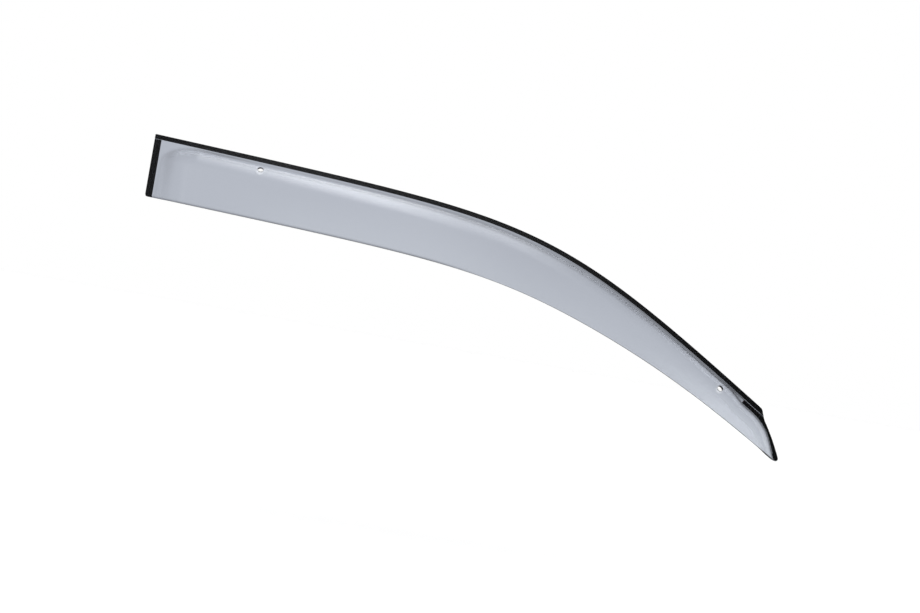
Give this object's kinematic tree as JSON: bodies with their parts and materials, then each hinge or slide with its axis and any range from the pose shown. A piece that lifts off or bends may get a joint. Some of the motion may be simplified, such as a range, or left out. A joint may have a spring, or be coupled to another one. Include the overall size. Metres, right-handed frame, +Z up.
{
  "type": "window rain deflector",
  "caption": "Smoked acrylic side window rain deflector with a raised blade, a foam taped mounting flange, foam end seals and clip holes.",
  "frame": {"origin": "on the bonding face of the flange tape, in the middle of the tape's length and width", "axes": "+X forward along the car, towards the narrow tip; +Y into the car, square to the bonding face at the origin; +Z up"},
  "size_m": [0.8725, 0.0411, 0.2803],
  "materials": {
    "smoked_acrylic": "polished, see-through smoke grey",
    "black_foam": "matte closed-cell foam",
    "liner_film": "thin red release film"
  },
  "bodies": {
    "root": {"shield": "smoked_acrylic", "flange_tape": "black_foam", "rear_seal": "black_foam", "front_seal": "black_foam", "flange_tape_liner": "liner_film", "rear_seal_liner": "liner_film", "front_seal_liner": "liner_film"}
  },
  "joints": []
}
